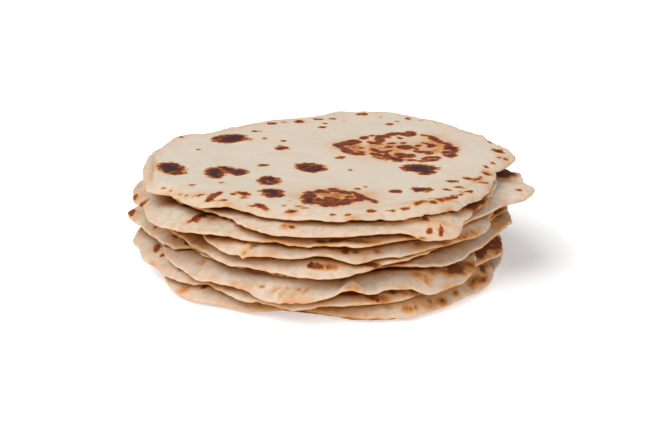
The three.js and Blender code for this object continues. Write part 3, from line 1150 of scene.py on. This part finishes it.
    def _scorch(self, bench: NodeBench) -> bpy.types.NodeSocket:
        """How scorched the dough is, with rough outlines and redder parts.

        Args:
            bench: Where the nodes go.

        Returns:
            How far in from a spot's outline it counts as, in millimetres.
        """
        scorch = bench.attribute("scorch")
        rough = bench.maths("SUBTRACT", bench.blotches(self.ROUGHENED), 0.5)
        rough = bench.maths("MULTIPLY", rough, bench.line(bench.attribute("ragged"), *self.ROUGH_LINE))
        red = bench.maths("MULTIPLY", bench.blotches(self.REDDENED), bench.spread(scorch, *self.RED_SCORCH))
        red = bench.maths("MULTIPLY", red, self.RED_DEPTH)
        return bench.maths("SUBTRACT", bench.maths("ADD", scorch, rough), red)

    def _cream(self, bench: NodeBench) -> bpy.types.NodeSocket:
        """The colour of dough with neither toasting nor painted shade.

        Args:
            bench: Where the nodes go.

        Returns:
            The colour.
        """
        warm = bench.attribute("warm")
        cream = bench.mix(bench.blotches(self.CREAMS), self.cream, self.warm_cream)
        floured = bench.maths("MULTIPLY", bench.blotches(self.FLOURED), self.FLOUR_SHARE)
        cream = bench.mix(floured, cream, self.flour)
        flecked = bench.maths("MULTIPLY", bench.blotches(self.FLECKED), bench.line(warm, *self.FLECK_LINE))
        cream = bench.mix(flecked, cream, self.fleck)
        return bench.mix(bench.maths("MULTIPLY", warm, self.WARM_SHARE), cream, self.warm)

    def _bumps(self, bench: NodeBench, scorch: bpy.types.NodeSocket) -> bpy.types.NodeSocket:
        """Fine grain and pores of the dough, and the blistered crust of its scorched spots.

        Args:
            bench: Where the nodes go.
            scorch: How scorched the dough is.

        Returns:
            The bumped normal.
        """
        grain = bench.maths("MULTIPLY", bench.noise(self.GRAIN), self.GRAIN_SHARE)
        pores = bench.line(bench.attribute("warm"), *self.PORE_LINE)
        pores = bench.maths("MULTIPLY", bench.noise(self.PORES), pores)
        crust = bench.maths("MULTIPLY", bench.spread(scorch, *self.CRUST_SCORCH), bench.noise(self.CRUST))
        height = bench.maths("ADD", bench.maths("ADD", grain, pores), crust)
        inputs = {"Strength": self.relief, "Distance": self.relief_height * MM, "Height": height}
        return bench.add("ShaderNodeBump", inputs).outputs["Normal"]


@dataclass(frozen=True)
class Studio:
    """A plain white table in soft light from the upper left.

    Attributes:
        floor_size: Width of the table in metres.
        floor_colour: Its colour.
        floor_roughness: Its roughness.
        glow_near: Where its glow is strongest, in millimetres across the table, and how strong.
        glow_far: The same where it is weakest.
        glow_slant: How much further along the glow each step to the back is.
        sky: Strength of the light from all round.
        suns: Where each sun stands, its strength, and how wide it looks, in degrees.
    """

    floor_size: float = 12.0
    floor_colour: tuple = linear(252, 252, 252)
    floor_roughness: float = 0.9
    glow_near: tuple[float, float] = (40.0, 0.5)
    glow_far: tuple[float, float] = (120.0, 0.1)
    glow_slant: float = 0.6
    sky: float = 0.5
    suns: tuple = (((-1.0, -0.6, 1.8), 1.86, 45.0), ((0.3, -1.0, 0.6), 0.88, 40.0))

    def build(self) -> None:
        """Makes the table and the lights."""
        self._floor()
        world = bpy.data.worlds.new("studio")
        world.use_nodes = True
        background = world.node_tree.nodes["Background"]
        background.inputs["Color"].default_value = (1.0, 1.0, 1.0, 1.0)
        background.inputs["Strength"].default_value = self.sky
        bpy.context.scene.world = world
        for i, (place, strength, angle) in enumerate(self.suns):
            self._sun(f"light_{i}", np.array(place), strength, angle)
        bpy.context.scene.view_settings.view_transform = "Standard"

    def _sun(self, name: str, place: np.ndarray, strength: float, angle: float) -> None:
        """Makes a light that is the same all over the table.

        Args:
            name: Its name.
            place: Where it stands, of which only the direction counts.
            strength: Its strength.
            angle: How wide it looks from the table, in degrees.
        """
        data = bpy.data.lights.new(name, "SUN")
        data.energy = strength
        data.angle = math.radians(angle)
        light = bpy.data.objects.new(name, data)
        light.location = place
        way = -place / np.linalg.norm(place)
        tip = math.atan2(math.hypot(way[0], way[1]), -way[2])
        light.rotation_euler = (tip, 0.0, math.atan2(-way[0], way[1]))
        bpy.context.scene.collection.objects.link(light)

    def _floor(self) -> None:
        """Makes the table top, which glows faintly towards the left and the front."""
        bm = bmesh.new()
        bmesh.ops.create_grid(bm, x_segments=1, y_segments=1, size=self.floor_size / 2)
        mesh = bpy.data.meshes.new("table")
        bm.to_mesh(mesh)
        bm.free()
        bench = NodeBench("white_table")
        split = bench.add("ShaderNodeSeparateXYZ", {"Vector": bench.place})
        slant = bench.maths("MULTIPLY", split.outputs["Y"], self.glow_slant)
        across = bench.maths("ADD", split.outputs["X"], slant)
        inputs = {"Value": across, "From Min": self.glow_near[0] * MM, "From Max": self.glow_far[0] * MM}
        inputs |= {"To Min": self.glow_near[1], "To Max": self.glow_far[1]}
        glow = bench.add("ShaderNodeMapRange", inputs, interpolation_type="SMOOTHSTEP")
        surface = {
            "Base Color": self.floor_colour,
            "Roughness": self.floor_roughness,
            "Emission Color": self.floor_colour,
            "Emission Strength": glow.outputs["Result"],
        }
        mesh.materials.append(bench.surface(surface))
        table = bpy.data.objects.new("table", mesh)
        bpy.context.scene.collection.objects.link(table)


def stack() -> Iterator[Tortilla]:
    """The ten tortillas from the lowest up, as the photograph shows them.

    Yields:
        Each tortilla, not yet settled.
    """
    yield Tortilla(
        name="tortilla_10",
        thickness=LOWEST_THICKNESS,
        bend=12.0,
        back=103.0,
        rim=(
            (168, 99, 2.2), (200, 93, 1.6), (235, 84, 1.2), (250, 81, 1.1), (262, 82, 1.1), (274, 88, 1.1),
            (287, 96.5, 1.1), (300, 98.5, 1.1), (318, 97.5, 1.1), (340, 98.5, 1.1), (350, 101, 1.2),
            (357, 103, 1.2), (365, 108, 2), (374, 111, 4.5),
        ),
        blooms=Bloom.rows((500, 258, 20, 20, 0.3)),
    )
    yield Tortilla(
        name="tortilla_09",
        thickness=5.8,
        bend=13.0,
        back=108.0,
        rim=(
            (170, 102, 8), (185, 101, 7.5), (202, 104, 5.4), (210, 105, 3.6), (217, 104, 3), (232, 97, 3),
            (246, 94, 3.2), (253, 91, 4.6), (258, 87, 5), (264, 88.5, 3.4), (274, 93, 3.2), (287, 102, 2.9),
            (300, 104, 2.9), (318, 102, 3.2), (332, 103.5, 3.6), (340, 104, 4.2), (348, 101.5, 4.8),
            (354, 97.5, 5.4), (361, 94, 6),
        ),
        spots=(
            *Heat.BROWN.spots((205, 287.5, 10, 4)),
            *Heat.TAN.spots((387.3, 307, 7, 3), (415.5, 307.5, 4, 4), (430, 300, 6, 4)),
        ),
        blooms=Bloom.rows(
            (408.4, 308.5, 16, 10, 2.2), (442.4, 300.5, 18, 10, 2.0, 20), (470.8, 286, 14, 9, 2.0, 30),
            (484, 277.6, 18, 8, 2.2, 35), (456, 294, 10, 6, 2.0, 25), (387, 307, 12, 5, 2.0),
            (194, 286.8, 36, 7, 2.2), (225, 304, 70, 8, 0.3), (380, 316, 80, 8, 0.6),
            (425, 305, 90, 16, 0.8, 12), (478, 280, 40, 12, 1.7, 30), (484, 268, 24, 8, 2.6, 40),
        ),
    )
    yield Tortilla(
        name="tortilla_08",
        thickness=5.7,
        bend=14.0,
        back=109.0,
        rim=(
            (158, 113, 17), (171, 119, 18), (175, 121, 13.4), (182, 115, 12.4), (190, 113, 11.4),
            (201, 106, 10.8), (210, 106, 10.8), (218, 101, 11.3), (225, 97, 13.7), (229, 98, 12.3),
            (244, 101, 11.3), (258, 103, 10.8), (277, 100.5, 12.4), (294, 100, 11.5), (303, 98, 12.3),
            (320, 94, 13), (334, 94.5, 11.6), (343, 97.5, 11.6), (348, 100.5, 11.8), (358, 107, 12.3),
        ),
        spots=(
            *Heat.BROWN.spots(
                (157, 248, 9, 6, -30), (162.9, 256.3, 6, 2.5), (376, 299, 10, 4, -8),
                (367, 296, 9, 2.2, -30),
            ),
            *Heat.TAN.spots((179.6, 270.4, 4, 3), (364, 296, 8, 3), (497, 252, 14, 4, 25)),
        ),
        # Painted shade: the band under the rim above at the front; the dark right end is browning and
        # painted shade
        blooms=Bloom.rows(
            (373, 297, 34, 10, 3.0, -6), (400, 292.8, 56, 5, 2.6, 4), (408, 294, 50, 6, 1.4, 8),
            (155, 250, 30, 12, 0.4), (488, 244, 50, 14, 4.6, 34), (496, 251, 18, 6, 1.2, 30),
        ),
    )
    yield Tortilla(
        name="tortilla_07",
        thickness=6.0,
        bend=16.0,
        back=107.0,
        rim=(
            (165, 104, 22), (180, 103, 21.6), (194, 102, 21.3), (204, 103, 19.3), (225, 103, 17.8),
            (241, 101, 18.3), (252, 107, 14.8), (262, 107, 15.8), (270, 104.5, 18.3), (277, 103, 22),
            (284, 102, 19), (290, 102, 19.8), (297, 102, 18.3), (304, 106, 14.8), (313, 106, 15.3),
            (326, 103, 18.3), (334, 96, 20.8), (344, 88, 21.5), (354, 88, 22),
        ),
        spots=Heat.TAN.spots((200.7, 264.4, 10, 4.5), (263, 287, 6, 3), (426, 279, 9, 3.4, -45)),
        # The strong blooms at the right are toasting and painted shade under the rim above
        blooms=Bloom.rows(
            (201, 265, 22, 10, 0.4), (418, 274, 34, 10, 1.6, -15), (454, 267, 64, 12, 3.2, 16),
            (350, 290, 26, 8, 1.4), (424, 276, 12, 8, 1.6, -45), (345, 288, 30, 8, 0.6),
        ),
        creases=Crease.rows(
            ((282, 284.5), (269, 293.5), 1.6, 1.8), ((289, 284), (287, 289), 2.0, 1.9),
            ((287, 289), (278, 299), 1.5, 1.7), ((300, 285), (297, 291), 2.0, 1.9),
            ((297, 291), (290, 299), 1.4, 1.7), ((309, 285), (301, 295), 1.6, 1.8),
            ((284, 289), (274, 298), -1.3, 1.7), ((295, 288), (285, 300), -1.3, 1.8),
            ((305, 289), (295, 300), -1.3, 1.8), ((351, 279), (351.5, 285), -1.6, 4.0),
            ((339, 290), (350, 284), -1.2, 1.6), ((350, 284), (364, 289), -1.2, 1.6),
            ((396, 276), (408, 288), -1.0, 4.0),
        ),
    )
    yield Tortilla(
        name="tortilla_06",
        thickness=5.6,
        bend=14.0,
        back=109.0,
        rim=(
            (160, 114, 31.5), (168, 119, 31.5), (172, 125, 29.4), (176, 120, 26.9), (182, 112, 25.9),
            (195, 104, 24.9), (204, 98, 24.9), (210, 92, 25.4), (233, 92, 24.9), (254, 96, 25.4),
            (275, 94, 27.4), (289, 91, 30.4), (300, 94, 29.4), (306, 99, 27.9), (319, 100, 26.4),
            (329, 98, 26.4), (342, 101, 26.9), (358, 109, 28.4), (361, 113, 28.4), (369, 113, 29.4),
        ),
        spots=(
            *Heat.BROWN.spots((130.7, 212, 7, 5), (187.3, 243.8, 8, 2.5, -35)),
            *Heat.TAN.spots((154.8, 228, 5, 3), (162.9, 233, 5, 2), (175.6, 236.5, 13, 5, -20)),
        ),
        # Painted shade: the strong brown strips under the rim above at the front left
        blooms=Bloom.rows(
            (135, 214, 22, 12, 0.9), (156, 229, 26, 10, 0.5), (175, 237, 26, 12, 0.7),
            (430, 256, 80, 14, 0.3), (262, 271, 130, 10, 3.6, -12), (228, 262, 40, 7, 3.0, -20),
            (496, 230, 30, 14, 0.8, 30),
        ),
    )
    yield Tortilla(
        name="tortilla_05",
        thickness=5.9,
        bend=16.0,
        back=109.0,
        rim=(
            (172, 105, 35.4), (190, 99, 34.4), (204, 97, 33.4), (222, 96, 31.9), (232, 100, 30.9),
            (252, 100, 30.4), (268, 105, 29.4), (280, 102, 31.9), (294, 99, 35.4), (304, 96, 35),
            (316, 91, 35.4), (332, 90, 35.4), (346, 93, 34.8), (356, 102, 34), (366, 111, 34.4),
        ),
        spots=(
            *Heat.BROWN.spots((313.5, 265.5, 13, 6.5), (322, 266, 8, 4)),
            *Heat.TAN.spots((327, 267, 20, 6.5), (275, 258, 7, 3), (501, 211, 14, 5, 20)),
        ),
        # Painted shade: the strong bloom in the band under the rim above at the front
        blooms=Bloom.rows(
            (325, 266, 34, 10, 1.0), (500, 213, 26, 20, 1.6), (364, 265, 44, 6, 2.6),
            (240, 256, 60, 10, 0.4),
        ),
    )
    yield Tortilla(
        name="tortilla_04",
        thickness=5.6,
        bend=14.0,
        back=108.0,
        rim=(
            (170, 104, 43), (200, 98, 43), (219, 95, 42.4), (226, 99, 40.4), (238, 102, 37.4),
            (248, 102, 39.4), (261, 100, 39.9), (267, 99.5, 41.4), (280, 101, 37.4), (300, 99.5, 38.4),
            (318, 101, 39.4), (327, 103, 37.9), (338, 102, 38.4), (346, 100, 39.4), (364, 102, 41.4),
        ),
        spots=(
            *Heat.BROWN.spots((248.6, 241.6, 11, 3), (344.4, 251, 10, 5.5)),
            *Heat.TAN.spots(
                (231, 239, 13, 5), (356, 251.7, 11, 5), (376.7, 251.7, 8, 4), (469, 236, 18, 4, 18),
            ),
        ),
        blooms=Bloom.rows(
            (230, 239, 24, 12, 0.8), (330, 252, 60, 10, 0.2), (350, 250, 34, 10, 1.2),
            (430, 242, 90, 6, 1.6, 12), (374, 250, 20, 8, 0.6), (468, 235.5, 40, 9, 2.2, 22),
        ),
        creases=Crease.rows(
            ((240, 255.5), (247, 249.5), 2.0, 1.0, 1.8), ((247, 249.5), (258, 243), 2.0, 1.0, 1.8),
        ),
    )
    yield Tortilla(
        name="tortilla_03",
        thickness=5.8,
        bend=20.0,
        back=112.0,
        rim=(
            (165, 112, 51), (180, 118, 48.4), (186, 117, 45.6), (193, 112, 45.4), (205, 114, 44.9),
            (216, 111, 44.9), (226, 104, 46.9), (240, 99, 46.9), (262, 98, 46.9), (280, 101, 46.9),
            (294, 99, 47.4), (310, 98, 45.6), (325, 98, 46.4), (339, 102, 46.4), (350, 110, 46.4),
            (353, 118.5, 47.5), (357, 122, 48.4), (361, 126, 48.9), (365, 121.5, 50.2), (375, 119, 51.2),
            (385, 117, 51.2),
        ),
        nicks=((217.4, 1.6, 1.6), (223.5, 1.2, 1.6), (235.0, 1.3, 1.6)),
        spots=(
            *Heat.CHAR.spots((201, 215.8, 24, 6, 13)),
            *Heat.BROWN.spots((134.7, 197.4, 5, 5), (140.8, 205.8, 6, 5), (519, 189.5, 7, 1.8, 15)),
            *Heat.TAN.spots((213.5, 217.5, 9, 4), (178, 203, 5, 1.5), (238, 226, 6, 2)),
        ),
        # Painted shade: the bands under the rims above at the left and the front, and on the right-hand
        # wing
        blooms=Bloom.rows(
            (203, 216, 40, 16, 0.5), (136, 201, 20, 16, 0.8), (170, 200, 36, 6, 1.4, -20),
            (330, 241.5, 110, 5, 2.2), (501, 173.5, 24, 12, 3.6, -15), (508, 171, 16, 7, 3.6, -35),
        ),
    )
    yield Tortilla(
        name="tortilla_02",
        thickness=5.5,
        bend=14.0,
        back=111.0,
        rim=(
            (165, 104, 57), (180, 103, 57), (199, 100, 57.2), (215, 96, 56.4), (228, 92, 55.4),
            (255, 103, 53.4), (267, 101, 52.9), (286, 102, 53.9), (293, 102, 52.9), (300, 109, 48.9),
            (310, 112, 47.9), (318, 105, 52.4), (334, 101, 53.9), (350, 101, 54.4), (378, 106, 56.4),
        ),
        spots=(
            *Heat.BROWN.spots(
                (292, 226.5, 6, 2.6), (424.5, 219.6, 8.5, 5), (429.8, 230.7, 5.5, 5.5),
                (440.4, 229.3, 4.5, 10),
            ),
            *Heat.TAN.spots((284, 225, 7, 2), (422.7, 238.4, 10, 3)),
        ),
        # Painted shade: the bands under the rim above at the front, and the dark crevice at the right
        blooms=Bloom.rows(
            (436, 230, 44, 18, 0.4), (455, 228, 14, 20, 0.4, 60), (290, 226, 18, 6, 1.4),
            (340, 221, 110, 4, 1.6, -3), (360, 231, 130, 9, 0.12), (385, 219.5, 140, 5, 1.6, 3),
            (475, 203.5, 50, 9, 3.2, 27),
        ),
    )
    yield Tortilla(
        name="tortilla_01",
        thickness=4.0,
        bend=10.0,
        rim=(
            (6, 110, 60.4), (14, 119, 61.4), (28, 118, 63.4), (48, 123, 63.4), (72, 131, 64.2),
            (85, 129, 64.2), (94, 118, 63.4), (121, 110, 63.4), (134, 107, 63.4), (143, 116, 63.9),
            (158, 113, 63.6), (178, 111, 63.9), (188, 111, 62), (196, 113.5, 60.3), (200, 110, 59.8),
            (206, 103, 59.4), (222, 100, 59.4), (234, 92.5, 62.2), (250, 95, 60), (268, 96, 61),
            (295, 99, 60), (311, 102.5, 58.2), (320, 101, 59), (344, 101, 58.9), (355, 100, 61.2),
        ),
        spots=top_spots(),
        blooms=Bloom.rows(
            (350, 147, 38, 14, 1.5), (385, 149, 70, 22, 1.1), (434, 146, 46, 22, 1.3),
            (395, 156, 60, 10, 1.3), (335, 197, 74, 14, 1.4), (487, 173.5, 14, 7, 1.5),
            (480, 180, 24, 5, 1.1, 22), (180, 137, 16, 4, 0.7), (293, 213, 16, 8, 0.8),
            (385, 217, 110, 5, 0.2, 2), (190, 195, 40, 5, 0.4), (430, 201.5, 60, 5, 0.8, 10),
            (152.5, 172, 2.6, 26, 0.5, -4), (504, 158, 22, 16, 0.4),
        ),
        creases=Crease.rows(
            ((156, 156), (151.5, 184), 1.2, 1.6), ((150, 156), (147, 184), -0.8, 3.0),
            ((402, 209.5), (446, 200.5), 0.7, 1.3), ((446, 200.5), (488, 179), 0.7, 1.3),
            ((412, 213), (450, 205), -0.7, 2.4), ((450, 205), (490, 186), -0.7, 2.4),
        ),
    )


def top_spots() -> tuple[Spot, ...]:
    """The charred spots of the topmost tortilla.

    Returns:
        The large lone ones, the islands of its two mottled patches, and the small ones.
    """
    lone = (
        *Heat.CHAR.spots(
            (229.5, 138.4, 36, 9.4, 2), (171.5, 168.2, 29, 10.5, -12), (215.5, 172.6, 20, 9, -6),
            (228, 169.4, 20, 5.6, -16), (238.3, 172.3, 17, 7.6, 2), (281.5, 148, 12, 4),
            (311, 167.8, 30, 9, -4), (269.5, 180.6, 20, 7.6), (271.5, 191.4, 22, 6),
            (274, 195, 19, 4.6, -3), (243.8, 193.4, 13, 3.4, -12), (419.5, 168, 37, 7.6, -2),
            (424.5, 171.2, 20, 7, -6), (421.5, 189.8, 18, 4), (452.4, 181.4, 9, 2.2),
            (467.8, 178.3, 8, 2.5), (499, 151, 12, 4.2, -4),
        ),
        *Heat.BROWN.spots(
            (161.5, 164.9, 8, 1.6, 3), (161.5, 168.8, 8, 1.4), (182, 173.9, 8, 1.4),
            (263, 165.2, 11, 2.2, 2), (298.5, 164.9, 10, 1.8, -3), (299.5, 169.3, 8, 1.4),
            (214, 195.6, 16, 4.6, 26), (206.8, 199.6, 6, 1.8, 30), (340.3, 158, 9.5, 2.6),
            (396, 191.2, 11.5, 3.4), (262, 206.6, 14, 3.2, -25), (292, 212, 11, 3), (487, 173.6, 10, 2),
        ),
    )
    large_patch = (
        *Heat.CHAR.spots(
            (450.7, 147.8, 16.5, 5.8, -6), (375.3, 149.6, 9.5, 3.8, -12), (380.5, 158.4, 11.8, 2, -10),
            (395.8, 159.5, 15.3, 4.4, -6),
        ),
        *Heat.BROWN.spots(
            (344, 143.6, 24.7, 4.7, 8), (351.5, 142.2, 19.9, 5.8, 9), (341.5, 147.6, 17.6, 3.8, -22),
            (346.5, 150.4, 14.1, 5.3, -14), (356, 153.6, 17.6, 3.2, -6), (360.5, 151.8, 9.5, 2.6, -4),
            (361.8, 147.8, 8.2, 2), (364.5, 138, 10, 3.5, 8), (372.3, 136, 5.9, 2),
            (379.5, 138.6, 11.8, 7.8, 12), (370.6, 142.8, 8.2, 3.5, -10), (378, 143.3, 9.5, 2.9, -6),
            (385, 135.8, 10.6, 3.5, 12), (392, 133.9, 12.9, 3.2, 3), (401, 133.9, 11.8, 3.2, -6),
            (409.5, 134.2, 14.1, 5.8, 6), (388, 136.8, 5.9, 2), (399.5, 138, 5.9, 2.4, -10),
            (403.5, 142.8, 5.9, 2.4), (391, 143.6, 10.6, 2, 3), (388.5, 147, 9.5, 2.4, 2),
            (404.8, 147.3, 18.8, 5.5), (417.5, 146, 7, 2, 4), (415.8, 148.3, 5.9, 2),
            (431.5, 146.2, 10.6, 4.4, 8), (425.5, 143.8, 9.5, 2, -8), (420, 151.4, 14.1, 2.9, -5),
            (429.5, 152.6, 9.5, 4), (425.5, 135.7, 10.6, 2, -10), (433.5, 138, 14.1, 5.3, -20),
            (440, 141.6, 10.6, 3.8, -20), (447, 143.6, 11.8, 2.6, -8), (449.5, 151.8, 17.6, 3.2),
            (452, 155.3, 11.8, 4.7, 6), (446, 155.6, 5.9, 2, -30), (381.5, 151.8, 11.8, 3.2, -6),
            (388.5, 151, 8.2, 2, 4), (377, 154.4, 15.3, 3.8, -6), (387.5, 156.8, 9.5, 5.8, -12),
            (400.5, 155.4, 14.1, 5.3, -6), (410, 156, 10.6, 4.4, 2), (411.2, 160.7, 11.8, 2),
            (420.2, 161.6, 5.9, 2), (431.5, 157.2, 17.6, 2.4, 2), (430.5, 160, 17.6, 2.4, 6),
            (425, 158.8, 4.7, 3.5), (438, 158, 5.9, 2.9),
        ),
    )
    small_patch = (
        *Heat.CHAR.spots((309, 197.5, 14.1, 11.6), (371, 200.2, 14.1, 2.4, -14)),
        *Heat.BROWN.spots(
            (308, 192.9, 9.5, 2, 6), (315, 192.6, 10.6, 3.8, 20), (323.5, 191.4, 14.1, 3.5, -8),
            (317, 200.4, 9.5, 6.2), (334.5, 190.6, 11.8, 3.8, -6), (342.5, 191.8, 10.6, 3.5, -8),
            (349, 193.3, 9.5, 3.2, -4), (357.5, 194.4, 14.1, 3.2, -20), (363, 197.2, 15.3, 3.5, -16),
            (349.5, 196.8, 10.6, 2), (330.5, 198.4, 10.6, 3.2, -8), (325, 202.6, 16.5, 6.4, -8),
            (335, 202.2, 14.1, 7.3, 4), (345.5, 201.6, 16.5, 5.3, 4), (357, 199.7, 18.8, 3.5, 6),
        ),
    )
    small = Heat.BROWN.spots(
        (283.5, 141, 5, 1.6), (222, 182, 5, 1.3), (192.5, 184.8, 5, 1.4), (199, 149, 4, 1.1),
        (265, 138, 4, 1.5), (350, 169.8, 4, 1.4), (493, 162.6, 4, 2), (486, 166.2, 4.5, 2.2),
        (505.5, 159, 6, 2.2), (499, 157, 5, 1.1), (272.5, 123.5, 11, 2.2), (299, 121.7, 11, 2.6),
        (322, 127.4, 9, 1.8), (326, 123.3, 5, 1.4), (318, 119, 12, 1.4), (332, 118.5, 9, 1.4),
        (362.5, 114.3, 13, 3.2), (388.5, 124.3, 8, 2.4), (396.5, 121.8, 5, 1.5), (407.5, 118.6, 6, 2.2),
        (254.5, 131, 6, 1.5), (181.5, 137.2, 6, 1.3), (180, 195, 3.5, 1.2), (169.3, 191.5, 3, 1.1),
        (185.6, 196, 5, 1.1), (193.5, 196, 5, 1), (201, 194.7, 6, 1.1), (233.5, 194.3, 5, 1.2),
        (243.5, 197.4, 8, 1.2), (222.5, 199.8, 6, 1.2), (252.5, 205.6, 8, 1.4), (371.6, 210.8, 8, 2.4),
        (392, 211, 10, 1.2), (334, 214.6, 5, 1.3), (349, 215, 6, 1.4), (492, 142.3, 5, 1.5),
        (357, 189, 6, 1.4),
    )
    pale = Heat.TAN.spots(
        (163, 188.5, 5, 1.8), (212, 201, 9, 1.5), (284, 205.5, 5, 2), (290, 200.8, 6, 1.4),
        (299.5, 206.2, 9, 2), (365.6, 186.6, 5, 1.8), (460, 187.4, 9, 2), (250, 139.4, 6, 3),
        (260, 131, 5, 1.4), (284, 122, 9, 1.5), (381, 117.5, 4, 1.3), (344, 120.5, 5, 1.2),
        (421, 120.5, 5, 1.2), (278, 182, 6, 5), (305, 208, 8, 2),
    )
    streak = (
        *Heat.CHAR.spots((429, 201.4, 20, 2.6, 8), (441, 199.6, 16, 2.3, 8)),
        *Heat.BROWN.spots(
            (405.5, 208.5, 10, 2.4, 16), (418, 203.6, 9, 2.2, 20), (452, 197.7, 13, 1.7, 9),
            (459.5, 194.9, 8, 1.3, 12), (467.3, 191.4, 11, 1.3, 10), (447.5, 189.7, 9, 1.4),
            (478, 179, 12, 1.4, 24), (485, 182.6, 9, 0.9, 8),
        ),
        *Heat.TAN.spots((458, 187.6, 9, 1.4)),
    )
    return lone + large_patch + small_patch + small + pale + streak


def main() -> None:
    """Builds the stack from the table up, then the studio."""
    logging.basicConfig(level=logging.INFO, format="%(message)s")
    camera = PhotoCamera()
    camera.build()
    dough = BakedDough().material()
    top_pattern = DiscPattern(sectors=720, middle_rings=60, rim_rings=36, sparse=4)
    pattern = DiscPattern(sectors=480, middle_rings=14, rim_rings=28)
    tortillas = list(stack())
    skin = HeightMap()
    for number, tortilla in enumerate(tortillas):
        tortilla.settle(number, len(tortillas), skin.stretched())
        skin.raise_to(tortilla.skin)
    for tortilla in tortillas:
        shape = TortillaMesh(tortilla, top_pattern if tortilla.on_top else pattern, camera)
        shape.crease()
        shape.bake(tortillas[tortilla.number + 1 :])
        piece = shape.piece(dough)
        log.info("%s: %d faces", piece.name, len(piece.data.polygons))
    Studio().build()


if __name__ == "__main__":
    main()
